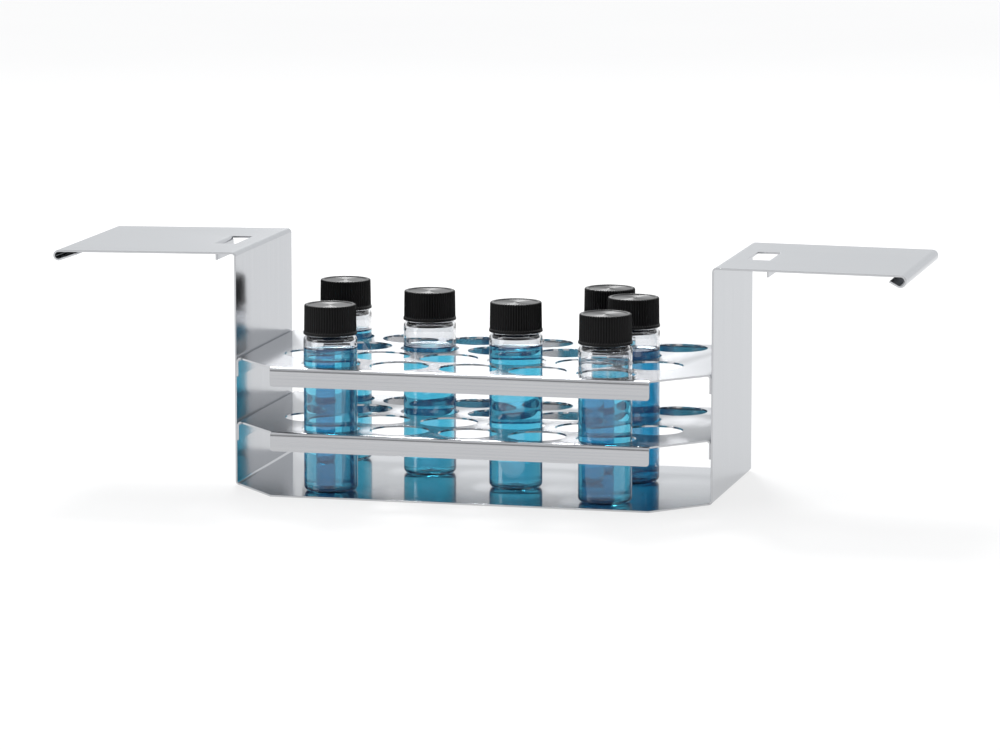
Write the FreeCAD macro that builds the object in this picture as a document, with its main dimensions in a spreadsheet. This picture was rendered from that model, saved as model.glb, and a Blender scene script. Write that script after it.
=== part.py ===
"""Hanging water-bath rack for screw-cap vials, as a FreeCAD parametric document.

The rack is one bent strip of stainless sheet (base, two walls, two hangers) with two perforated
tiers spot-welded between the walls.  Seven 40 ml vials stand in it.

Frame: +Z up, X across the rack from wall to wall, -Y towards the open front.  The origin is on the
underside of the base, in the middle of the rack's own box.  Millimetres throughout.
"""
import FreeCAD, Part
import os
import Sketcher

DIMENSIONS = {
    # sheet metal
    "gauge": 1.0, "bend_radius": 1.2,
    # bent strip
    "rack_width": 256.0, "wall_depth": 106.0, "rack_height": 123.5,
    "front_reach": 29.0, "corner_cut": 27.5,
    # hangers: the window starts window_offset outboard of the wall, and its tab is bent down
    "hanger_reach": 99.5,
    "window_offset": 10.0, "window_width": 10.5, "window_length": 32.0,
    "tab_length": 31.0, "tab_drop": 9.0,
    # how far each hanger's end droops, and the hem rolled under it by hand
    "left_droop": 1.6, "left_hem_height": 5.6, "left_hem_length": 12.5, "left_hem_gap": 0.3,
    "right_droop": 0.9, "right_hem_height": 6.4, "right_hem_length": 8.6, "right_hem_gap": 1.8,
    # tiers
    "upper_tier_top": 68.0, "lower_tier_top": 34.0,
    "tier_lip": 10.0, "lip_relief": 3.0, "lip_corner": 1.5,
    "hole_diameter": 31.0, "hole_pitch": 36.7, "row_pitch": 31.8, "front_row_inset": 21.8,
    # spot welds
    "weld_diameter": 4.0, "weld_depth": 0.4, "weld_spacing": 33.5, "weld_drop": 5.6,
    # glass vials, standing on the base
    "vial_diameter": 28.0, "vial_height": 95.0, "vial_wall": 1.2, "vial_floor": 1.6,
    "heel_radius": 3.0, "shoulder_height": 79.0, "shoulder_inside": 77.3,
    "neck_diameter": 21.5, "mouth_diameter": 16.4,
    # closures
    "liner_thick": 1.2, "liner_diameter": 23.6,
    "cap_skirt_diameter": 28.2, "cap_top_diameter": 27.0, "cap_bore": 24.2,
    "cap_roof": 2.0, "cap_height": 15.6, "cap_edge": 0.9,
}

# Holes in each row, from the front of a tier to its back.
ROW_COUNTS = (5, 6, 5, 6)

# Each vial: its row from the front, its place in the row from the left, how far it stands to the
# right of the middle of its hole, and its liquid's level.
VIALS = ((0, 0, -0.4, 76.0), (3, 0, 0.0, 71.5), (2, 1, 0.0, 69.0), (1, 3, -0.4, 75.8),
         (3, 4, -0.9, 73.0), (2, 4, 0.5, 71.0), (0, 4, -0.5, 61.5))

HALF = "rack_width / 2"
FLAT = f"({HALF} - gauge - bend_radius)"
BEND = "(gauge + bend_radius)"
BACK = "wall_depth / 2"
FRONT = "(-wall_depth / 2 - front_reach)"

doc = FreeCAD.newDocument("vial_rack")
sheet = doc.addObject("Spreadsheet::Sheet", "Dimensions")
for line, (alias, value) in enumerate(DIMENSIONS.items(), start=1):
    sheet.set(f"A{line}", alias)
    sheet.set(f"B{line}", str(value))
    sheet.setAlias(f"B{line}", alias)
doc.recompute()

pieces = []


def sized(text):
    """Return an expression in which each dimension's name reads its cell of the sheet."""
    done = ""
    word = ""
    for mark in text + " ":
        if mark.isalnum() or mark == "_":
            word += mark
            continue
        done += f"Dimensions.{word}" if word in DIMENSIONS else word
        done += mark
        word = ""
    return done.strip()


def measure(item, text):
    """Return the plain number that an expression of dimension names gives."""
    value = item.evalExpression(sized(text))
    return float(getattr(value, "Value", value))


def size(alias):
    """Return one cell of the sheet as a number."""
    return float(sheet.get(alias))


def near(value, target):
    """Tell whether two lengths agree to a twentieth of a millimetre."""
    return abs(value - target) < 0.05


# Sketches and features ----------------------------------------------------------------------------

def place(item, across, along, up):
    """Bind an object's placement to three expressions."""
    item.setExpression("Placement.Base.x", sized(across))
    item.setExpression("Placement.Base.y", sized(along))
    item.setExpression("Placement.Base.z", sized(up))


def new_piece(name, across="0", along="front_reach / 2", up="0"):
    """Start the body of one physical piece; sheet metal is drawn about the walls' mid-depth."""
    body = doc.addObject("PartDesign::Body", name)
    body.Label = name
    place(body, across, along, up)
    pieces.append(body)
    return body


def new_sketch(body, name, plane="XY_Plane", offset="0"):
    """Start a sketch on one of the body's origin planes, moved along the plane's normal."""
    sketch = body.newObject("Sketcher::SketchObject", f"{body.Name}_{name}")
    base = next(item for item in body.Origin.OriginFeatures if item.Role == plane)
    sketch.AttachmentSupport = [(base, "")]
    sketch.MapMode = "FlatFace"
    sketch.setExpression("AttachmentOffset.Base.z", sized(offset))
    return sketch


def hold(sketch, kind, geometry, text, *point):
    """Add a dimension to a sketch and bind it to an expression."""
    target = (-1, 1, geometry, *point) if point else (geometry,)
    index = sketch.addConstraint(Sketcher.Constraint(kind, *target, measure(sketch, text)))
    sketch.setExpression(f"Constraints[{index}]", sized(text))


def draw_outline(sketch, corners):
    """Draw a closed outline from corners given by expressions.

    A corner is (across, up).  A third value is the radius of the arc that leaves it for the next
    corner, and a fourth, 1 or -1, says that the arc turns left or right.
    """
    count = len(corners)
    spots = [FreeCAD.Vector(measure(sketch, corner[0]), measure(sketch, corner[1]), 0)
             for corner in corners]
    for index, corner in enumerate(corners):
        start = spots[index]
        end = spots[(index + 1) % count]
        if len(corner) == 2:
            sketch.addGeometry(Part.LineSegment(start, end), False)
            continue
        radius = measure(sketch, corner[2])
        chord = end - start
        middle = (start + end) / 2
        left = FreeCAD.Vector(-chord.y, chord.x, 0).normalize() * corner[3]
        centre = middle + left * max(radius ** 2 - (chord.Length / 2) ** 2, 0) ** 0.5
        crown = centre - left * radius
        sketch.addGeometry(Part.Arc(start, crown, end), False)
    for index, corner in enumerate(corners):
        follower = (index + 1) % count
        leaves_by = 1 if len(corner) == 4 and corner[3] < 0 else 2
        enters_by = 2 if len(corners[follower]) == 4 and corners[follower][3] < 0 else 1
        sketch.addConstraint(
            Sketcher.Constraint("Coincident", index, leaves_by, follower, enters_by))
    for index, corner in enumerate(corners):
        begins_at = 2 if len(corner) == 4 and corner[3] < 0 else 1
        hold(sketch, "DistanceX", index, corner[0], begins_at)
        hold(sketch, "DistanceY", index, corner[1], begins_at)
        if len(corner) == 4:
            hold(sketch, "Radius", index, corner[2])


def draw_circle(sketch, across, up, diameter):
    """Draw a circle with its centre and diameter given by expressions."""
    centre = FreeCAD.Vector(measure(sketch, across), measure(sketch, up), 0)
    circle = Part.Circle(centre, FreeCAD.Vector(0, 0, 1), measure(sketch, diameter) / 2)
    index = sketch.addGeometry(circle, False)
    hold(sketch, "DistanceX", index, across, 3)
    hold(sketch, "DistanceY", index, up, 3)
    hold(sketch, "Diameter", index, diameter)


def pad(body, sketch, length, midplane=False, downwards=False):
    """Pad a sketch by an expression, up, down, or half each way."""
    feature = body.newObject("PartDesign::Pad", f"{sketch.Name}_pad")
    feature.Profile = sketch
    feature.setExpression("Length", sized(length))
    feature.Midplane = midplane
    feature.Reversed = downwards
    doc.recompute()
    return feature


def pocket(body, sketch, length, outwards=False):
    """Cut a sketch into the body by an expression, and stop if nothing was cut."""
    before = body.Shape.Volume
    feature = body.newObject("PartDesign::Pocket", f"{sketch.Name}_cut")
    feature.Profile = sketch
    feature.setExpression("Length", sized(length))
    feature.Reversed = outwards
    doc.recompute()
    if body.Shape.Volume > before - 0.01:
        raise RuntimeError(f"{feature.Name} cut nothing")
    return feature


def round_edges(body, name, radius, wanted):
    """Round the edges that the test picks by their middle point and their run."""
    base = body.Tip
    names = []
    for index, edge in enumerate(base.Shape.Edges, start=1):
        middle = edge.valueAt((edge.FirstParameter + edge.LastParameter) / 2)
        run = edge.valueAt(edge.LastParameter) - edge.valueAt(edge.FirstParameter)
        if wanted(middle, run):
            names.append(f"Edge{index}")
    if not names:
        raise RuntimeError(f"{body.Name}: no edge for {name}")
    feature = body.newObject("PartDesign::Fillet", f"{body.Name}_{name}")
    feature.Base = (base, names)
    feature.setExpression("Radius", sized(radius))
    doc.recompute()


def mirror_across(body, features):
    """Repeat features on the other side of the body's middle plane."""
    feature = body.newObject("PartDesign::Mirrored", f"{body.Name}_mirrored")
    feature.Originals = features
    plane = next(item for item in body.Origin.OriginFeatures if item.Role == "YZ_Plane")
    feature.MirrorPlane = (plane, [""])
    body.Tip = feature
    doc.recompute()


def revolve(body, corners):
    """Turn a profile of (radius, height) corners about the body's own axis."""
    sketch = new_sketch(body, "profile", "XZ_Plane")
    draw_outline(sketch, corners)
    feature = body.newObject("PartDesign::Revolution", f"{body.Name}_turned")
    feature.Profile = sketch
    feature.ReferenceAxis = (sketch, ["V_Axis"])
    feature.Angle = 360.0
    doc.recompute()


# Bent strip ---------------------------------------------------------------------------------------

def weld_seats(body, name, height, inner_face, outwards):
    """Three shallow round seats in a row at one height, one for each weld nugget."""
    seats = new_sketch(body, name, "YZ_Plane", inner_face)
    for place_along in (-1, 0, 1):
        draw_circle(seats, f"{place_along} * weld_spacing", height, "weld_diameter")
    return pocket(body, seats, "weld_depth", outwards)


def hanger_end(name):
    """How far from the middle the flat of a hanger ends and its hem's roll starts."""
    return f"({HALF} + hanger_reach - {name}_hem_height / 2)"


def hanger_top(name, out):
    """The height of a hanger's top face at a distance outboard of its wall."""
    slope = f"{name}_droop / ({hanger_end(name)} - {HALF} - bend_radius)"
    return f"(rack_height - {slope} * ({out} - bend_radius))"


def hanger_hem(body, name, side):
    """The hanger's end rolled under into a teardrop, with its edge below the hanger's underside.

    The return's slope is that of the line from the roll's centre to the return's edge, plus the
    angle whose sine is the roll's inner radius over that line's length.
    """
    roll = f"({name}_hem_height / 2)"
    inner = f"({roll} - gauge)"
    centre_x = hanger_end(name)
    top = f"(rack_height - {name}_droop)"
    centre_z = f"({top} - {roll})"
    edge_x = f"({HALF} + hanger_reach - {name}_hem_length)"
    edge_z = f"({top} - gauge - {name}_hem_gap)"
    run = f"({name}_hem_length - {roll})"
    rise = f"({inner} - {name}_hem_gap)"
    slope = f"(atan({rise} / {run}) + asin({inner} / sqrt({run}^2 + {rise}^2)))"
    hem = new_sketch(body, f"{name}_hem", "XZ_Plane")
    draw_outline(hem, [
        (f"{side} * {centre_x}", top, roll, -side),
        (f"{side} * ({centre_x} + {roll})", centre_z, roll, -side),
        (f"{side} * ({centre_x} - {roll} * sin({slope}))", f"{centre_z} - {roll} * cos({slope})"),
        (f"{side} * ({edge_x} - gauge * sin({slope}))", f"{edge_z} - gauge * cos({slope})"),
        (f"{side} * {edge_x}", edge_z),
        (f"{side} * ({centre_x} - {inner} * sin({slope}))", f"{centre_z} - {inner} * cos({slope})",
         inner, side),
        (f"{side} * ({centre_x} + {inner})", centre_z, inner, side),
        (f"{side} * {centre_x}", f"{top} - gauge"),
    ])
    pad(body, hem, "wall_depth", midplane=True)


def hanger_window(body, name, side):
    """The opening punched through a hanger, out to where its tab's bend starts."""
    inner_side = f"{side} * ({HALF} + window_offset)"
    outer_side = f"{side} * ({HALF} + window_offset + window_width + {BEND})"
    window = new_sketch(body, f"{name}_window", offset="rack_height")
    draw_outline(window, [
        (inner_side, "-window_length / 2"), (outer_side, "-window_length / 2"),
        (outer_side, "window_length / 2"), (inner_side, "window_length / 2"),
    ])
    pocket(body, window, "3 * gauge")


def hanger_tab(body, name, side):
    """The metal of the window, bent straight down from the window's outer side."""
    face = "(window_offset + window_width)"
    top = hanger_top(name, f"({face} + {BEND})")
    tab = new_sketch(body, f"{name}_tab", "XZ_Plane")
    draw_outline(tab, [
        (f"{side} * ({HALF} + {face} + {BEND})", top, BEND, side),
        (f"{side} * ({HALF} + {face})", f"{top} - {BEND}"),
        (f"{side} * ({HALF} + {face})", f"{top} - tab_drop"),
        (f"{side} * ({HALF} + {face} + gauge)", f"{top} - tab_drop"),
        (f"{side} * ({HALF} + {face} + gauge)", f"{top} - {BEND}", "bend_radius", -side),
        (f"{side} * ({HALF} + {face} + {BEND})", f"{top} - gauge"),
    ])
    pad(body, tab, "tab_length", midplane=True)


def build_hanger_frame():
    """Base, walls and hangers from one strip; the base reaches forward with cut corners."""
    body = new_piece("hanger_frame")
    left_end = f"-{hanger_end('left')}"
    right_end = hanger_end("right")
    strip = new_sketch(body, "strip", "XZ_Plane")
    draw_outline(strip, [
        (f"-{FLAT}", "0"),
        (FLAT, "0", BEND, 1),
        (HALF, BEND),
        (HALF, f"rack_height - {BEND}", "bend_radius", -1),
        (f"{HALF} + bend_radius", "rack_height - gauge"),
        (right_end, "rack_height - right_droop - gauge"),
        (right_end, "rack_height - right_droop"),
        (f"{HALF} + bend_radius", "rack_height", BEND, 1),
        (f"{HALF} - gauge", f"rack_height - {BEND}"),
        (f"{HALF} - gauge", BEND, "bend_radius", -1),
        (FLAT, "gauge"),
        (f"-{FLAT}", "gauge", "bend_radius", -1),
        (f"gauge - {HALF}", BEND),
        (f"gauge - {HALF}", f"rack_height - {BEND}", BEND, 1),
        (f"-({HALF} + bend_radius)", "rack_height"),
        (left_end, "rack_height - left_droop"),
        (left_end, "rack_height - left_droop - gauge"),
        (f"-({HALF} + bend_radius)", "rack_height - gauge", "bend_radius", -1),
        (f"-{HALF}", f"rack_height - {BEND}"),
        (f"-{HALF}", BEND, BEND, 1),
    ])
    pad(body, strip, "wall_depth", midplane=True)

    apron = new_sketch(body, "apron")
    draw_outline(apron, [
        (f"corner_cut - {HALF}", FRONT), (f"{HALF} - corner_cut", FRONT),
        (FLAT, f"-{BACK}"), (FLAT, "0"), (f"-{FLAT}", "0"), (f"-{FLAT}", f"-{BACK}"),
    ])
    pad(body, apron, "gauge")

    for name, side in (("left", -1), ("right", 1)):
        hanger_window(body, name, side)
        hanger_tab(body, name, side)
        hanger_hem(body, name, side)
    seats = [weld_seats(body, f"{name}_seats", f"{name}_tier_top - weld_drop",
                        f"{HALF} - gauge", True)
             for name in ("upper", "lower")]
    mirror_across(body, seats)


# Tiers --------------------------------------------------------------------------------------------

def tier_lip(body, name, edge, toward, length):
    """A lip bent down along the front (toward is 1) or the back (toward is -1) of a tier."""
    lip = new_sketch(body, name, "YZ_Plane")
    draw_outline(lip, [
        (f"{edge} + {toward} * {BEND}", "0", BEND, toward),
        (edge, f"-{BEND}"),
        (edge, "-tier_lip"),
        (f"{edge} + {toward} * gauge", "-tier_lip"),
        (f"{edge} + {toward} * gauge", f"-{BEND}", "bend_radius", -toward),
        (f"{edge} + {toward} * {BEND}", "-gauge"),
    ])
    pad(body, lip, length, midplane=True)


def build_tier(name, tier_top):
    """A perforated tier: plate, end flanges against the walls, and front and back lips."""
    body = new_piece(name, up=tier_top)
    inside = f"({HALF} - gauge)"
    flat = f"({inside} - {BEND})"
    plate = new_sketch(body, "plate", "XZ_Plane")
    draw_outline(plate, [
        (f"-{flat}", "0", BEND, 1),
        (f"-{inside}", f"-{BEND}"),
        (f"-{inside}", "-tier_lip"),
        (f"gauge - {inside}", "-tier_lip"),
        (f"gauge - {inside}", f"-{BEND}", "bend_radius", -1),
        (f"-{flat}", "-gauge"),
        (flat, "-gauge", "bend_radius", -1),
        (f"{inside} - gauge", f"-{BEND}"),
        (f"{inside} - gauge", "-tier_lip"),
        (inside, "-tier_lip"),
        (inside, f"-{BEND}", BEND, 1),
        (flat, "0"),
    ])
    pad(body, plate, "wall_depth", midplane=True)

    apron = new_sketch(body, "apron")
    draw_outline(apron, [
        (f"corner_cut - {HALF}", f"{FRONT} + {BEND}"), (f"{HALF} - corner_cut", f"{FRONT} + {BEND}"),
        (flat, f"-{BACK}"), (flat, "0"), (f"-{flat}", "0"), (f"-{flat}", f"-{BACK}"),
    ])
    pad(body, apron, "gauge", downwards=True)
    tier_lip(body, "front_lip", FRONT, 1, "rack_width - 2 * corner_cut")

    slot = new_sketch(body, "back_slot")
    slot_side = f"({flat} - lip_relief / 2)"
    draw_outline(slot, [
        (f"-{slot_side}", f"{BACK} - {BEND}"), (slot_side, f"{BACK} - {BEND}"),
        (slot_side, f"{BACK} + gauge"), (f"-{slot_side}", f"{BACK} + gauge"),
    ])
    pocket(body, slot, "gauge")
    tier_lip(body, "back_lip", BACK, -1, f"2 * ({flat} - lip_relief)")

    front_end = size("rack_width") / 2 - size("corner_cut")
    back_end = measure(body, f"{flat} - lip_relief")
    round_edges(body, "lip_corners", "lip_corner",
                lambda middle, run: near(abs(run.y), size("gauge"))
                and near(middle.z, -size("tier_lip"))
                and (near(abs(middle.x), front_end) or near(abs(middle.x), back_end)))

    holes = new_sketch(body, "holes")
    for row, count in enumerate(ROW_COUNTS):
        for column in range(count):
            draw_circle(holes, *hole_centre(row, column), "hole_diameter")
    pocket(body, holes, "gauge")
    seats = weld_seats(body, "seats", "-weld_drop", inside, False)
    mirror_across(body, [seats])


def hole_centre(row, column):
    """Where a hole's axis is, as two expressions about the walls' mid-depth."""
    across = f"({column} - {(ROW_COUNTS[row] - 1) / 2}) * hole_pitch"
    along = f"{FRONT} + front_row_inset + {row} * row_pitch"
    return across, along


def build_welds(name, side, tier_top):
    """Three weld nuggets on one end flange, each sunk half in the wall and half in the flange."""
    nuggets = []
    for number, along in enumerate((-1, 0, 1), start=1):
        nugget = doc.addObject("Part::Cylinder", f"{name}_{number}")
        nugget.setExpression("Radius", sized("weld_diameter / 2"))
        nugget.setExpression("Height", sized("2 * weld_depth"))
        nugget.Placement.Rotation = FreeCAD.Rotation(FreeCAD.Vector(0, 1, 0), 90)
        place(nugget, f"{side} * ({HALF} - gauge) - weld_depth",
              f"front_reach / 2 + {along} * weld_spacing", f"{tier_top} - weld_drop")
        nuggets.append(nugget)
    group = doc.addObject("Part::Compound", name)
    group.Label = name
    group.Links = nuggets
    pieces.append(group)


# Vials --------------------------------------------------------------------------------------------

def build_vial(number, row, column, aside, level):
    """A glass vial with its liquid, its sealing liner and its screw cap."""
    across, along = hole_centre(row, column)
    across = f"{across} + {aside}"
    along = f"front_reach / 2 + {along}"
    wall = "(vial_diameter / 2)"
    bore = "(vial_diameter / 2 - vial_wall)"
    neck = "(neck_diameter / 2)"
    mouth = "(mouth_diameter / 2)"
    heel = "(heel_radius - vial_wall)"

    glass = new_piece(f"vial_{number}_glass", across, along, "gauge")
    revolve(glass, [
        ("0", "0"),
        (f"{wall} - heel_radius", "0", "heel_radius", 1),
        (wall, "heel_radius"),
        (wall, "shoulder_height", f"{wall} - {neck}", 1),
        (neck, f"shoulder_height + {wall} - {neck}"),
        (neck, "vial_height"),
        (mouth, "vial_height"),
        (mouth, f"shoulder_inside + {bore} - {mouth}", f"{bore} - {mouth}", -1),
        (bore, "shoulder_inside"),
        (bore, f"vial_floor + {heel}", heel, -1),
        (f"{bore} - {heel}", "vial_floor"),
        ("0", "vial_floor"),
    ])

    liquid = new_piece(f"vial_{number}_liquid", across, along, "gauge")
    revolve(liquid, [
        ("0", "vial_floor"),
        (f"{bore} - {heel}", "vial_floor", heel, 1),
        (bore, f"vial_floor + {heel}"),
        (bore, str(level)),
        ("0", str(level)),
    ])

    liner = new_piece(f"vial_{number}_liner", across, along, "gauge + vial_height")
    revolve(liner, [
        ("0", "0"), ("liner_diameter / 2", "0"),
        ("liner_diameter / 2", "liner_thick"), ("0", "liner_thick"),
    ])

    cap = new_piece(f"vial_{number}_cap", across, along,
                    "gauge + vial_height + liner_thick + cap_roof - cap_height")
    revolve(cap, [
        ("cap_bore / 2", "0"),
        ("cap_skirt_diameter / 2", "0"),
        ("cap_top_diameter / 2", "cap_height - cap_edge", "cap_edge", 1),
        ("cap_top_diameter / 2 - cap_edge", "cap_height"),
        ("0", "cap_height"),
        ("0", "cap_height - cap_roof"),
        ("cap_bore / 2", "cap_height - cap_roof"),
    ])


# Whole rack ---------------------------------------------------------------------------------------

build_hanger_frame()
build_tier("upper_tier", "upper_tier_top")
build_tier("lower_tier", "lower_tier_top")
for tier in ("upper", "lower"):
    build_welds(f"{tier}_welds_left", "-1", f"{tier}_tier_top")
    build_welds(f"{tier}_welds_right", "1", f"{tier}_tier_top")
for vial_number, (vial_row, vial_column, aside, liquid_level) in enumerate(VIALS, start=1):
    build_vial(vial_number, vial_row, vial_column, aside, liquid_level)

doc.recompute()
for item in doc.Objects:
    if "Invalid" in item.State or "Error" in item.State:
        raise RuntimeError(f"{item.Name} did not recompute: {item.State}")
for piece in pieces:
    if piece.Shape.isNull() or not piece.Shape.isValid():
        raise RuntimeError(f"{piece.Label} has no valid shape")

os.makedirs("parts", exist_ok=True)
for piece in pieces:
    piece.Shape.exportStep(f"parts/{piece.Label}.step")
    box = piece.Shape.BoundBox
    print(f"{piece.Label}: {len(piece.Shape.Solids)} solid, {piece.Shape.Volume:.1f} mm3, "
          f"x {box.XMin:.2f} to {box.XMax:.2f}, y {box.YMin:.2f} to {box.YMax:.2f}, "
          f"z {box.ZMin:.2f} to {box.ZMax:.2f}")
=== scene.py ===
"""Looks for the hanging vial rack: stainless sheet, glass vials, blue liquid and black caps."""
import math

import bmesh
import bpy
import numpy as np
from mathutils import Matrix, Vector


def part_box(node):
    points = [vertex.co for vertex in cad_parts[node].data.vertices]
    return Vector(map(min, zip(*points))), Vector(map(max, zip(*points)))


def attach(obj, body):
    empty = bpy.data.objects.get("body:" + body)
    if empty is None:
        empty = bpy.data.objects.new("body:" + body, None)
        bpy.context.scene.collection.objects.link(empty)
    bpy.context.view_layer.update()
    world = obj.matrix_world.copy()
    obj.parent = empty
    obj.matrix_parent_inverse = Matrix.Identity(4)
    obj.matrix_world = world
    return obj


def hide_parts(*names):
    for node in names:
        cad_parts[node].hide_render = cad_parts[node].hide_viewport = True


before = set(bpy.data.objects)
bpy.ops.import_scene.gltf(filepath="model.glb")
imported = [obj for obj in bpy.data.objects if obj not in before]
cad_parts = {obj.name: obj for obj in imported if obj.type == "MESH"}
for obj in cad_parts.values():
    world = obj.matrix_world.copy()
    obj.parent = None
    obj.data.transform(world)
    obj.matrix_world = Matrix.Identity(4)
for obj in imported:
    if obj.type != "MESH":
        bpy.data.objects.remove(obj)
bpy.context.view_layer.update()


# Camera ---------------------------------------------------------------------------------------
# It looks down on the rack from in front and a little to the right, from far enough away that
# the walls stay upright.  Level it would see no tier; its tilt is just under nine degrees.

camera_data = bpy.data.cameras.new("camera")
camera_data.lens = 181.9
camera_data.sensor_width = 36.0
camera_data.clip_end = 20.0
camera = bpy.data.objects.new("camera", camera_data)
camera.location = (0.6273, -2.5544, 0.4657)
camera.rotation_euler = (math.radians(90.0 - 8.82), 0.0, math.radians(13.67))
bpy.context.scene.collection.objects.link(camera)
bpy.context.scene.camera = camera


# Floor ----------------------------------------------------------------------------------------
# A plain sheet of opal acrylic on a light table, wide enough to fill the view.  Its even glow from
# beneath fills most of the shadow.

def opal_sheet():
    """Opal acrylic: a faint cloudy tone from a broad noise, a matt finish and a soft glow."""
    opal = bpy.data.materials.new("opal_sheet")
    opal.use_nodes = True
    nodes = opal.node_tree.nodes
    links = opal.node_tree.links
    shader = nodes["Principled BSDF"]
    shader.inputs["Roughness"].default_value = 0.9
    shader.inputs["Specular IOR Level"].default_value = 0.1
    shader.inputs["Emission Color"].default_value = (1.0, 1.0, 1.0, 1.0)
    shader.inputs["Emission Strength"].default_value = 0.7
    place = nodes.new("ShaderNodeTexCoord")
    cloud = nodes.new("ShaderNodeTexNoise")
    cloud.inputs["Scale"].default_value = 3.0
    tone = nodes.new("ShaderNodeValToRGB")
    tone.color_ramp.elements[0].color = (0.24, 0.24, 0.242, 1.0)
    tone.color_ramp.elements[1].color = (0.26, 0.26, 0.26, 1.0)
    links.new(place.outputs["Object"], cloud.inputs["Vector"])
    links.new(cloud.outputs["Fac"], tone.inputs["Fac"])
    links.new(tone.outputs["Color"], shader.inputs["Base Color"])
    return opal


floor_half = 6.0
floor_mesh = bpy.data.meshes.new("studio_floor")
floor_mesh.from_pydata([(-floor_half, -floor_half, 0.0), (floor_half, -floor_half, 0.0),
                        (floor_half, floor_half, 0.0), (-floor_half, floor_half, 0.0)],
                       [], [(0, 1, 2, 3)])
floor_mesh.materials.append(opal_sheet())
studio_floor = bpy.data.objects.new("studio_floor", floor_mesh)
bpy.context.scene.collection.objects.link(studio_floor)


# Lights ---------------------------------------------------------------------------------------
# A white studio: bright behind and overhead, and the dim open room in front.  A tall softbox at
# the front left draws the bright lines on edges, and a small high one behind lights the cap tops.

room = bpy.data.worlds.new("white_studio")
room.use_nodes = True
room_nodes = room.node_tree.nodes
room_links = room.node_tree.links
room_shader = room_nodes["Background"]
room_shader.inputs["Color"].default_value = (0.98, 0.99, 1.0, 1.0)
heading = room_nodes.new("ShaderNodeTexCoord")
parts = room_nodes.new("ShaderNodeSeparateXYZ")
backdrop = room_nodes.new("ShaderNodeMapRange")
backdrop.inputs["From Min"].default_value = -0.15
backdrop.inputs["From Max"].default_value = 0.3
backdrop.inputs["To Min"].default_value = 0.3
backdrop.inputs["To Max"].default_value = 1.02
ceiling = room_nodes.new("ShaderNodeMapRange")
ceiling.inputs["From Min"].default_value = 0.4
ceiling.inputs["From Max"].default_value = 0.8
ceiling.inputs["To Min"].default_value = 0.0
ceiling.inputs["To Max"].default_value = 0.55
total = room_nodes.new("ShaderNodeMath")
room_links.new(heading.outputs["Generated"], parts.inputs["Vector"])
room_links.new(parts.outputs["Y"], backdrop.inputs["Value"])
room_links.new(parts.outputs["Z"], ceiling.inputs["Value"])
room_links.new(backdrop.outputs["Result"], total.inputs[0])
room_links.new(ceiling.outputs["Result"], total.inputs[1])
room_links.new(total.outputs["Value"], room_shader.inputs["Strength"])
bpy.context.scene.world = room
bpy.context.scene.view_settings.view_transform = "Standard"


def softbox(name, place, aim, width, height, watts):
    """A rectangular area light at place, turned to face aim."""
    data = bpy.data.lights.new(name, "AREA")
    data.shape = "RECTANGLE"
    data.size = width
    data.size_y = height
    data.energy = watts
    lamp = bpy.data.objects.new(name, data)
    lamp.location = place
    towards = np.array(aim) - np.array(place)
    lamp.rotation_euler = (math.atan2(math.hypot(towards[0], towards[1]), -towards[2]), 0.0,
                           math.atan2(-towards[0], towards[1]))
    bpy.context.scene.collection.objects.link(lamp)


softbox("left_softbox", (-1.6, -0.9, 0.75), (0.0, 0.0, 0.08), 0.7, 1.3, 11.0)
softbox("back_softbox", (-0.45, 1.3, 1.35), (0.0, 0.0, 0.1), 0.4, 0.4, 22.0)


# Stainless sheet ------------------------------------------------------------------------------
# The strip that makes base, walls and hangers, and the two tiers, are cut from bright cold-rolled
# stainless sheet.  Their sheared edges are deburred, so they carry a fine rounded highlight.

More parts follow.
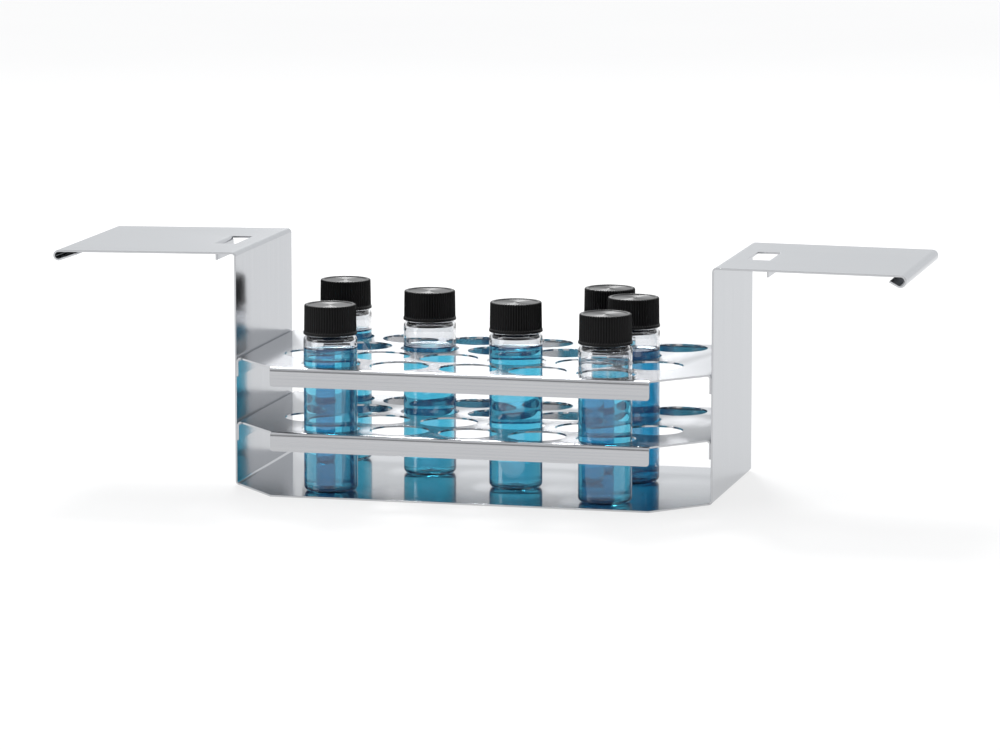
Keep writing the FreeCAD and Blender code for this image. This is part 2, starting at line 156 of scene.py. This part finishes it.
def bright_sheet(name, grain, smear, smooth, dull):
    """Rolled stainless: fine lines along the strip, faint waviness, and a patchy polish.

    The lines are noise stretched by the grain scale, so it changes slowly along the rolling
    direction and quickly across it.  The roughness wanders between smooth and dull, and smear is
    how much further a reflection spreads one way than the other.
    """
    steel = bpy.data.materials.new(name)
    steel.use_nodes = True
    nodes = steel.node_tree.nodes
    links = steel.node_tree.links
    shader = nodes["Principled BSDF"]
    shader.inputs["Metallic"].default_value = 1.0
    shader.inputs["Specular Tint"].default_value = (0.82, 0.83, 0.84, 1.0)
    shader.inputs["Anisotropic"].default_value = smear
    spread = nodes.new("ShaderNodeTangent")
    spread.direction_type = "UV_MAP"
    spread.uv_map = "smear"
    place = nodes.new("ShaderNodeTexCoord")
    stretch = nodes.new("ShaderNodeMapping")
    stretch.inputs["Scale"].default_value = grain
    lines = nodes.new("ShaderNodeTexNoise")
    lines.inputs["Scale"].default_value = 1.0
    lines.inputs["Detail"].default_value = 3.0
    patches = nodes.new("ShaderNodeTexNoise")
    patches.inputs["Scale"].default_value = 22.0
    patches.inputs["Detail"].default_value = 4.0
    waves = nodes.new("ShaderNodeTexNoise")
    waves.inputs["Scale"].default_value = 9.0
    waves.inputs["Detail"].default_value = 1.0
    polish = nodes.new("ShaderNodeMapRange")
    polish.inputs["To Min"].default_value = smooth
    polish.inputs["To Max"].default_value = dull
    tone = nodes.new("ShaderNodeValToRGB")
    tone.color_ramp.elements[0].position = 0.3
    tone.color_ramp.elements[0].color = (0.51, 0.518, 0.536, 1.0)
    tone.color_ramp.elements[1].position = 0.7
    tone.color_ramp.elements[1].color = (0.57, 0.575, 0.592, 1.0)
    scratch = nodes.new("ShaderNodeBump")
    scratch.inputs["Strength"].default_value = 0.18
    scratch.inputs["Distance"].default_value = 0.000006
    swell = nodes.new("ShaderNodeBump")
    swell.inputs["Strength"].default_value = 0.5
    swell.inputs["Distance"].default_value = 0.0004
    links.new(place.outputs["Object"], stretch.inputs["Vector"])
    links.new(stretch.outputs["Vector"], lines.inputs["Vector"])
    links.new(place.outputs["Object"], patches.inputs["Vector"])
    links.new(place.outputs["Object"], waves.inputs["Vector"])
    links.new(patches.outputs["Fac"], polish.inputs["Value"])
    links.new(polish.outputs["Result"], shader.inputs["Roughness"])
    links.new(lines.outputs["Fac"], tone.inputs["Fac"])
    links.new(tone.outputs["Color"], shader.inputs["Base Color"])
    links.new(waves.outputs["Fac"], swell.inputs["Height"])
    links.new(lines.outputs["Fac"], scratch.inputs["Height"])
    links.new(spread.outputs["Tangent"], shader.inputs["Tangent"])
    links.new(swell.outputs["Normal"], scratch.inputs["Normal"])
    links.new(scratch.outputs["Normal"], shader.inputs["Normal"])
    return steel


def deburred_sheet(node, material):
    """The node's own solid with its triangles joined, flat faces made whole and edges rounded.

    Its smear chart runs front to back on level faces and upwards on upright ones, the way in
    which the rollers' fine lines spread a reflection.
    """
    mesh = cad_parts[node].data.copy()
    work = bmesh.new()
    work.from_mesh(mesh)
    bmesh.ops.remove_doubles(work, verts=work.verts, dist=2e-6)
    bmesh.ops.dissolve_limit(work, angle_limit=math.radians(0.6), verts=work.verts,
                             edges=work.edges)
    work.to_mesh(mesh)
    work.free()
    corner = np.empty(len(mesh.loops), dtype=np.int64)
    mesh.loops.foreach_get("vertex_index", corner)
    points = np.empty(len(mesh.vertices) * 3)
    mesh.vertices.foreach_get("co", points)
    points = points.reshape(-1, 3)[corner]
    sides = np.empty(len(mesh.polygons), dtype=np.int64)
    mesh.polygons.foreach_get("loop_total", sides)
    facing = np.empty(len(mesh.polygons) * 3)
    mesh.polygons.foreach_get("normal", facing)
    facing = np.repeat(np.abs(facing.reshape(-1, 3)), sides, axis=0)
    level = facing[:, 2] > 0.7
    along = np.where(level, points[:, 1], points[:, 2])
    beside = np.where(level | (facing[:, 1] > facing[:, 0]), points[:, 0], points[:, 1])
    chart = mesh.uv_layers.new(name="smear")
    chart.data.foreach_set("uv", np.stack([along, beside], axis=1).ravel())
    mesh.materials.clear()
    mesh.materials.append(material)
    mesh.shade_smooth()
    piece = bpy.data.objects.new(f"{node}_sheet", mesh)
    bpy.context.scene.collection.objects.link(piece)
    rounding = piece.modifiers.new("deburr", "BEVEL")
    rounding.width = 0.00016
    rounding.segments = 2
    rounding.limit_method = "ANGLE"
    rounding.angle_limit = math.radians(42.0)
    shading = piece.modifiers.new("flat_faces", "WEIGHTED_NORMAL")
    shading.mode = "FACE_AREA"
    shading.weight = 100
    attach(piece, "root")
    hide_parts(node)
    return piece


strip_steel = bright_sheet("strip_steel", (5.0, 2600.0, 5.0), 0.9, 0.1, 0.14)
tier_steel = bright_sheet("tier_steel", (5.0, 2600.0, 2600.0), 0.95, 0.14, 0.18)
deburred_sheet("hanger_frame", strip_steel)
deburred_sheet("upper_tier", tier_steel)
deburred_sheet("lower_tier", tier_steel)


# Spot welds -----------------------------------------------------------------------------------
# Three nuggets of fused steel join each end flange to its wall.  A welding current melts them
# where the two sheets touch, so they are sealed in the metal.

nugget_steel = bright_sheet("nugget_steel", (900.0, 900.0, 900.0), 0.0, 0.3, 0.4)
for tier in ("upper", "lower"):
    for side in ("left", "right"):
        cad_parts[f"{tier}_welds_{side}"].data.materials.clear()
        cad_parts[f"{tier}_welds_{side}"].data.materials.append(nugget_steel)


# Glass vials ----------------------------------------------------------------------------------
# Each vial is clear borosilicate tube, drawn in at the shoulder to a neck that carries a screw
# thread, with a slightly hollow foot.  It stands free on the base, inside a hole of each tier.

neck_radius = 0.01075


def turned(name, radii, heights, sides, centre):
    """A solid turned about an upright axis.

    Each point stands at its ring's radius times the cosine and the sine of its angle, and at its
    ring's height.  radii and heights hold one row for each ring, from the axis back to the axis,
    and may differ from side to side.  The first and last rings are closed to a single point.
    """
    angles = np.linspace(0.0, 2.0 * math.pi, sides, endpoint=False)
    radii = np.broadcast_to(radii, (len(radii), sides))
    heights = np.broadcast_to(heights, (len(heights), sides))
    rings = np.stack([centre[0] + radii * np.cos(angles), centre[1] + radii * np.sin(angles),
                      centre[2] + heights], axis=2)[1:-1]
    poles = np.array([[centre[0], centre[1], centre[2] + heights[0, 0]],
                      [centre[0], centre[1], centre[2] + heights[-1, 0]]])
    points = np.concatenate([rings.reshape(-1, 3), poles])
    side = np.arange(sides)
    after = (side + 1) % sides
    rows = np.arange(len(rings) - 1)[:, None] * sides
    walls = np.stack([rows + side, rows + after, rows + sides + after, rows + sides + side], axis=2)
    last = (len(rings) - 1) * sides
    foot = np.stack([np.full(sides, len(points) - 2), after, side], axis=1)
    crown = np.stack([np.full(sides, len(points) - 1), last + side, last + after], axis=1)
    mesh = bpy.data.meshes.new(name)
    mesh.from_pydata(points.tolist(), [], walls.reshape(-1, 4).tolist() + foot.tolist()
                     + crown.tolist())
    travel = np.hypot(np.diff(radii[:, 0]), np.diff(heights[:, 0]))
    travel = np.concatenate([[0.0], np.cumsum(travel)])
    ring_of = np.concatenate([np.repeat(np.arange(1, len(radii) - 1), sides),
                              [0, len(radii) - 1]])
    turn_of = np.concatenate([np.tile(side / sides, len(rings)), [0.5, 0.5]])
    corner = np.empty(len(mesh.loops), dtype=np.int64)
    mesh.loops.foreach_get("vertex_index", corner)
    across = turn_of[corner]
    first = np.empty(len(mesh.polygons), dtype=np.int64)
    total = np.empty(len(mesh.polygons), dtype=np.int64)
    mesh.polygons.foreach_get("loop_start", first)
    mesh.polygons.foreach_get("loop_total", total)
    lowest = np.minimum.reduceat(across, first)
    highest = np.maximum.reduceat(across, first)
    wraps = np.repeat(highest - lowest > 0.6, total)
    across = np.where(wraps & (across < 0.4), across + 1.0, across)
    chart = mesh.uv_layers.new(name="around_and_along")
    chart.data.foreach_set("uv", np.stack([across, travel[ring_of[corner]]], axis=1).ravel())
    mesh.shade_smooth()
    mesh.set_sharp_from_angle(angle=math.radians(35.0))
    piece = bpy.data.objects.new(name, mesh)
    bpy.context.scene.collection.objects.link(piece)
    return piece


def softened(corners, steps=6):
    """A profile through corners of (radius, height, rounding), each rounded by an arc.

    The arc leaves the two edges at rounding times the tangent of half the turn from the corner.
    """
    points = np.array([corner[:2] for corner in corners], dtype=float)
    done = [points[:1]]
    for index in range(1, len(points) - 1):
        rounding = corners[index][2]
        into = points[index] - points[index - 1]
        out = points[index + 1] - points[index]
        into = into / np.linalg.norm(into)
        out = out / np.linalg.norm(out)
        turn = math.atan2(into[0] * out[1] - into[1] * out[0], into @ out)
        if rounding == 0.0 or abs(turn) < 1e-3:
            done.append(points[index:index + 1])
            continue
        back = rounding * math.tan(abs(turn) / 2.0)
        start = points[index] - into * back
        hub = start + np.array([-into[1], into[0]]) * rounding * math.copysign(1.0, turn)
        sweep = np.linspace(0.0, turn, steps + 1)[:, None]
        arm = start - hub
        done.append(hub + arm * np.cos(sweep) + np.array([-arm[1], arm[0]]) * np.sin(sweep))
    done.append(points[-1:])
    return np.concatenate(done)


def divided(profile, longest):
    """The same profile with its long edges cut into equal lengths no longer than longest."""
    parts = []
    for start, end in zip(profile[:-1], profile[1:]):
        count = max(1, math.ceil(np.linalg.norm(end - start) / longest))
        parts.append(start + (end - start) * np.arange(count)[:, None] / count)
    parts.append(profile[-1:])
    return np.concatenate(parts)


def clear_glass():
    """Borosilicate: a faint green-blue tint, drawn lines down the tube and light smears."""
    glass = bpy.data.materials.new("clear_glass")
    glass.use_nodes = True
    nodes = glass.node_tree.nodes
    links = glass.node_tree.links
    shader = nodes["Principled BSDF"]
    shader.inputs["Base Color"].default_value = (0.87, 0.88, 0.895, 1.0)
    shader.inputs["Transmission Weight"].default_value = 1.0
    shader.inputs["IOR"].default_value = 1.473
    place = nodes.new("ShaderNodeTexCoord")
    draw = nodes.new("ShaderNodeMapping")
    draw.inputs["Scale"].default_value = (420.0, 420.0, 14.0)
    lines = nodes.new("ShaderNodeTexNoise")
    lines.inputs["Scale"].default_value = 1.0
    lines.inputs["Detail"].default_value = 2.0
    ripple = nodes.new("ShaderNodeBump")
    ripple.inputs["Strength"].default_value = 0.25
    ripple.inputs["Distance"].default_value = 0.00004
    smear = nodes.new("ShaderNodeTexNoise")
    smear.inputs["Scale"].default_value = 60.0
    smear.inputs["Detail"].default_value = 5.0
    haze = nodes.new("ShaderNodeMapRange")
    haze.inputs["From Min"].default_value = 0.45
    haze.inputs["From Max"].default_value = 0.8
    haze.inputs["To Min"].default_value = 0.0
    haze.inputs["To Max"].default_value = 0.05
    links.new(place.outputs["Object"], draw.inputs["Vector"])
    links.new(draw.outputs["Vector"], lines.inputs["Vector"])
    links.new(lines.outputs["Fac"], ripple.inputs["Height"])
    links.new(ripple.outputs["Normal"], shader.inputs["Normal"])
    links.new(place.outputs["Object"], smear.inputs["Vector"])
    links.new(smear.outputs["Fac"], haze.inputs["Value"])
    links.new(haze.outputs["Result"], shader.inputs["Roughness"])
    return glass


def vial_profile(radius, height):
    """The wall's outline in metres, from the hollow foot up the outside and down the inside."""
    wall = 0.0012
    mouth = 0.0082
    shoulder = 0.0822
    roof = shoulder - 0.0014
    floor = 0.0017
    return softened([
        (0.0, 0.0009, 0.0), (radius * 0.62, 0.0006, 0.004), (radius * 0.76, 0.0, 0.0012),
        (radius, 0.0, 0.0029), (radius, shoulder, 0.0027), (neck_radius, shoulder, 0.0006),
        (neck_radius, height, 0.0011), (mouth, height, 0.0011), (mouth, roof, 0.0012),
        (radius - wall, roof, 0.0030), (radius - wall, floor, 0.0026),
        (radius * 0.5, floor, 0.004), (0.0, 0.0024, 0.0),
    ], 8)


def neck_thread(profile, sides, height):
    """Ring radii with the screw thread added to the outside of the neck.

    The thread is a bump across the height that climbs one pitch a turn: its crest stands where
    height minus pitch times the turn is a whole number of pitches, and it fades at both ends.
    """
    pitch = 0.003175
    depth = 0.0011
    half_width = 0.00115
    start = height - 0.0098
    turns = 2.0
    fading = 6.0
    turn = np.linspace(0.0, 1.0, sides, endpoint=False)
    ring = np.arange(len(profile))
    outside = (ring < np.argmax(profile[:, 1])) & (np.abs(profile[:, 0] - neck_radius) < 1e-5)
    climbed = (profile[:, 1:2] - start) / pitch - turn
    nearest = np.clip(np.round(climbed), 0, turns - 1)
    along = (nearest + turn) / turns
    crest = np.clip(1.0 - (np.abs(climbed - nearest) * pitch / half_width) ** 2, 0.0, 1.0)
    fade = np.clip(along * turns * fading, 0.0, 1.0)
    fade = fade * np.clip((1.0 - along) * turns * fading, 0.0, 1.0)
    return profile[:, 0:1] + outside[:, None] * depth * crest ** 0.7 * fade


glass_finish = clear_glass()
tube_sides = 128
body_foot = 0.004
body_top = 0.079
vial_count = sum(1 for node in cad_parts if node.endswith("_glass"))
for number in range(1, vial_count + 1):
    low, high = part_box(f"vial_{number}_glass")
    axis = ((low[0] + high[0]) / 2.0, (low[1] + high[1]) / 2.0, low[2])
    wall_radius = (high[0] - low[0]) / 2.0
    vial_height = high[2] - low[2]
    outline = divided(vial_profile(wall_radius, vial_height), 0.0005)
    keep = np.ones(len(outline), dtype=bool)
    straight = (outline[:, 1] > body_foot) & (outline[:, 1] < body_top)
    keep[straight] = np.arange(np.count_nonzero(straight)) % 12 == 0
    outline = outline[keep]
    vial = turned(f"vial_{number}_tube", neck_thread(outline, tube_sides, vial_height),
                  outline[:, 1:2], tube_sides, axis)
    vial.data.materials.append(glass_finish)
    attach(vial, f"vial_{number}")
    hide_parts(f"vial_{number}_glass")


# Liquid ---------------------------------------------------------------------------------------
# Clear water with a copper-blue dye.  It wets the glass, so its surface climbs a little at the
# wall, and it reaches a hair into the glass, so that no film of air shows between them.

def blue_liquid():
    """Dyed water: clear, its blue deepens with depth, and it gives off a faint painted blue glow in
    place of light scattered by the dye.
    """
    dyed = bpy.data.materials.new("dyed_water")
    dyed.use_nodes = True
    nodes = dyed.node_tree.nodes
    links = dyed.node_tree.links
    shader = nodes["Principled BSDF"]
    shader.inputs["Base Color"].default_value = (0.94, 0.99, 1.0, 1.0)
    shader.inputs["Roughness"].default_value = 0.0
    shader.inputs["Transmission Weight"].default_value = 1.0
    shader.inputs["IOR"].default_value = 1.333
    dye = nodes.new("ShaderNodeVolumeAbsorption")
    dye.inputs["Color"].default_value = (0.055, 0.773, 0.873, 1.0)
    dye.inputs["Density"].default_value = 110.0
    # Painted glow: the water emits a faint blue light of its own, which lifts its darker parts as
    # scattered light would.
    painted_glow = nodes.new("ShaderNodeEmission")
    painted_glow.inputs["Color"].default_value = (0.42, 0.45, 1.0, 1.0)
    painted_glow.inputs["Strength"].default_value = 3.2
    dye_and_painted_glow = nodes.new("ShaderNodeAddShader")
    links.new(dye.outputs["Volume"], dye_and_painted_glow.inputs[0])
    links.new(painted_glow.outputs["Emission"], dye_and_painted_glow.inputs[1])
    links.new(dye_and_painted_glow.outputs["Shader"], nodes["Material Output"].inputs["Volume"])
    return dyed


liquid_finish = blue_liquid()
wetting = 0.00006
edge_width = 0.0022
edge_climb = 0.0011
for number in range(1, vial_count + 1):
    low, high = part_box(f"vial_{number}_liquid")
    axis = ((low[0] + high[0]) / 2.0, (low[1] + high[1]) / 2.0, low[2])
    reach = (high[0] - low[0]) / 2.0 + wetting
    depth = high[2] - low[2]
    climb = np.linspace(0.0, 1.0, 9)[1:, None]
    edge = softened([(0.0, 0.0004, 0.0), (reach * 0.5, 0.0, 0.004), (reach, 0.0, 0.0026),
                     (reach, depth, 0.0)], 8)
    # The surface falls from the wall by one minus the cube of the way left to its level part.
    surface = np.concatenate([reach - edge_width * climb,
                              depth - edge_climb * (1 - (1 - climb) ** 3)], axis=1)
    outline = divided(np.concatenate([edge, surface, [[0.0, depth - edge_climb]]]), 0.006)
    liquid = turned(f"vial_{number}_dyed_water", outline[:, 0:1], outline[:, 1:2], tube_sides,
                    axis)
    liquid.data.materials.append(liquid_finish)
    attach(liquid, f"vial_{number}")
    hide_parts(f"vial_{number}_liquid")


# Liners ---------------------------------------------------------------------------------------
# A soft white disc of foamed plastic, punched from sheet and pressed under the roof of each cap,
# seals the mouth of the vial.

def soft_liner():
    """Pale sealing foam: a fine pebbled surface, nearly matt."""
    foam = bpy.data.materials.new("soft_liner")
    foam.use_nodes = True
    nodes = foam.node_tree.nodes
    links = foam.node_tree.links
    shader = nodes["Principled BSDF"]
    shader.inputs["Roughness"].default_value = 0.65
    place = nodes.new("ShaderNodeTexCoord")
    pebbles = nodes.new("ShaderNodeTexNoise")
    pebbles.inputs["Scale"].default_value = 1800.0
    tone = nodes.new("ShaderNodeValToRGB")
    tone.color_ramp.elements[0].color = (0.78, 0.78, 0.75, 1.0)
    tone.color_ramp.elements[1].color = (0.88, 0.88, 0.86, 1.0)
    relief = nodes.new("ShaderNodeBump")
    relief.inputs["Strength"].default_value = 0.4
    relief.inputs["Distance"].default_value = 0.00005
    links.new(place.outputs["Object"], pebbles.inputs["Vector"])
    links.new(pebbles.outputs["Fac"], tone.inputs["Fac"])
    links.new(tone.outputs["Color"], shader.inputs["Base Color"])
    links.new(pebbles.outputs["Fac"], relief.inputs["Height"])
    links.new(relief.outputs["Normal"], shader.inputs["Normal"])
    return foam


liner_finish = soft_liner()
for number in range(1, vial_count + 1):
    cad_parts[f"vial_{number}_liner"].data.materials.clear()
    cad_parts[f"vial_{number}_liner"].data.materials.append(liner_finish)


# Caps -----------------------------------------------------------------------------------------
# Black moulded screw caps: sixty upright ribs for grip above a plain band at the skirt, a fine
# raised rim round the top, and a shallow dished centre with the moulding gate's dot in it.

def black_plastic(name, shine, smooth, dull, lay):
    """Moulded black plastic with faint turned marks round the cap's axis.

    shine is its specular level, its roughness wanders between smooth and dull, and lay turns the
    way that a highlight stretches, in whole turns from the way round the cap.
    """
    plastic = bpy.data.materials.new(name)
    plastic.use_nodes = True
    nodes = plastic.node_tree.nodes
    links = plastic.node_tree.links
    shader = nodes["Principled BSDF"]
    shader.inputs["Anisotropic"].default_value = 0.8
    shader.inputs["Anisotropic Rotation"].default_value = lay
    shader.inputs["Specular IOR Level"].default_value = shine
    place = nodes.new("ShaderNodeTexCoord")
    around = nodes.new("ShaderNodeTangent")
    around.direction_type = "UV_MAP"
    around.uv_map = "around_and_along"
    mottle = nodes.new("ShaderNodeTexNoise")
    mottle.inputs["Scale"].default_value = 260.0
    mottle.inputs["Detail"].default_value = 4.0
    finish = nodes.new("ShaderNodeMapRange")
    finish.inputs["To Min"].default_value = smooth
    finish.inputs["To Max"].default_value = dull
    tone = nodes.new("ShaderNodeValToRGB")
    tone.color_ramp.elements[0].color = (0.002, 0.002, 0.0023, 1.0)
    tone.color_ramp.elements[1].color = (0.006, 0.006, 0.0065, 1.0)
    rings = nodes.new("ShaderNodeTexWave")
    rings.bands_direction = "Y"
    rings.inputs["Scale"].default_value = 900.0
    relief = nodes.new("ShaderNodeBump")
    relief.inputs["Strength"].default_value = 0.3
    relief.inputs["Distance"].default_value = 0.00001
    links.new(place.outputs["Object"], mottle.inputs["Vector"])
    links.new(mottle.outputs["Fac"], finish.inputs["Value"])
    links.new(mottle.outputs["Fac"], tone.inputs["Fac"])
    links.new(finish.outputs["Result"], shader.inputs["Roughness"])
    links.new(tone.outputs["Color"], shader.inputs["Base Color"])
    links.new(around.outputs["Tangent"], shader.inputs["Tangent"])
    links.new(place.outputs["UV"], rings.inputs["Vector"])
    links.new(rings.outputs["Fac"], relief.inputs["Height"])
    links.new(relief.outputs["Normal"], shader.inputs["Normal"])
    return plastic


def ribbed_cap(name, skirt, height, axis):
    """A screw cap: a turned shell whose side is scalloped by as many cosine waves as it has ribs.

    The side draws in from the skirt's radius to the top.  The ribs fade out into the plain band
    at the skirt, and notch the rim at the top.
    """
    ribs = 60
    rib_depth = 0.0005
    rib_foot = 0.0014
    rib_rise = 0.0006
    rim = 0.0011
    sides = ribs * 8
    bore = 0.0121
    roof = 0.002
    band = skirt - 0.0003
    top = skirt - 0.0006
    outline = divided(softened([
        (0.0, height - roof, 0.0), (bore, height - roof, 0.0008), (bore, 0.0004, 0.0),
        (bore + 0.0003, 0.0, 0.0), (skirt, 0.0, 0.0003), (skirt - 0.0001, 0.0012, 0.0003),
        (band - 0.0001, 0.0017, 0.0003), (top, height, 0.0008), (top - 0.0018, height, 0.0002),
        (top - 0.0022, height - 0.0005, 0.0003), (0.0022, height - 0.0005, 0.0003),
        (0.0017, height - 0.0003, 0.0002), (0.0006, height - 0.0003, 0.0001),
        (0.0004, height - 0.0008, 0.0001), (0.0, height - 0.0008, 0.0),
    ], 5), 0.0009)
    turn = np.linspace(0.0, 2.0 * math.pi, sides, endpoint=False)
    lift = outline[:, 1:2]
    outside = outline[:, 0:1] > top - rim
    strength = np.clip((lift - rib_foot) / rib_rise, 0.0, 1.0) * outside
    strength = strength * np.clip((outline[:, 0:1] - top + rim) / rib_depth, 0.0, 1.0)
    groove = 0.5 - 0.5 * np.cos(turn * ribs)
    radii = outline[:, 0:1] - rib_depth * strength * groove ** 1.5
    cap = turned(name, radii, outline[:, 1:2], sides, axis)
    cap.data.materials.append(side_finish)
    cap.data.materials.append(top_finish)
    slope = np.empty(len(cap.data.polygons) * 3)
    cap.data.polygons.foreach_get("normal", slope)
    cap.data.polygons.foreach_set("material_index", (slope[2::3] > 0.6).astype(np.int32))
    return cap


side_finish = black_plastic("black_cap_side", 0.18, 0.34, 0.46, 0.0)
top_finish = black_plastic("black_cap_top", 0.5, 0.4, 0.48, 0.25)
for number in range(1, vial_count + 1):
    low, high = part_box(f"vial_{number}_cap")
    axis = ((low[0] + high[0]) / 2.0, (low[1] + high[1]) / 2.0, low[2])
    cap = ribbed_cap(f"vial_{number}_ribbed_cap", (high[0] - low[0]) / 2.0, high[2] - low[2], axis)
    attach(cap, f"vial_{number}_cap")
    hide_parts(f"vial_{number}_cap")
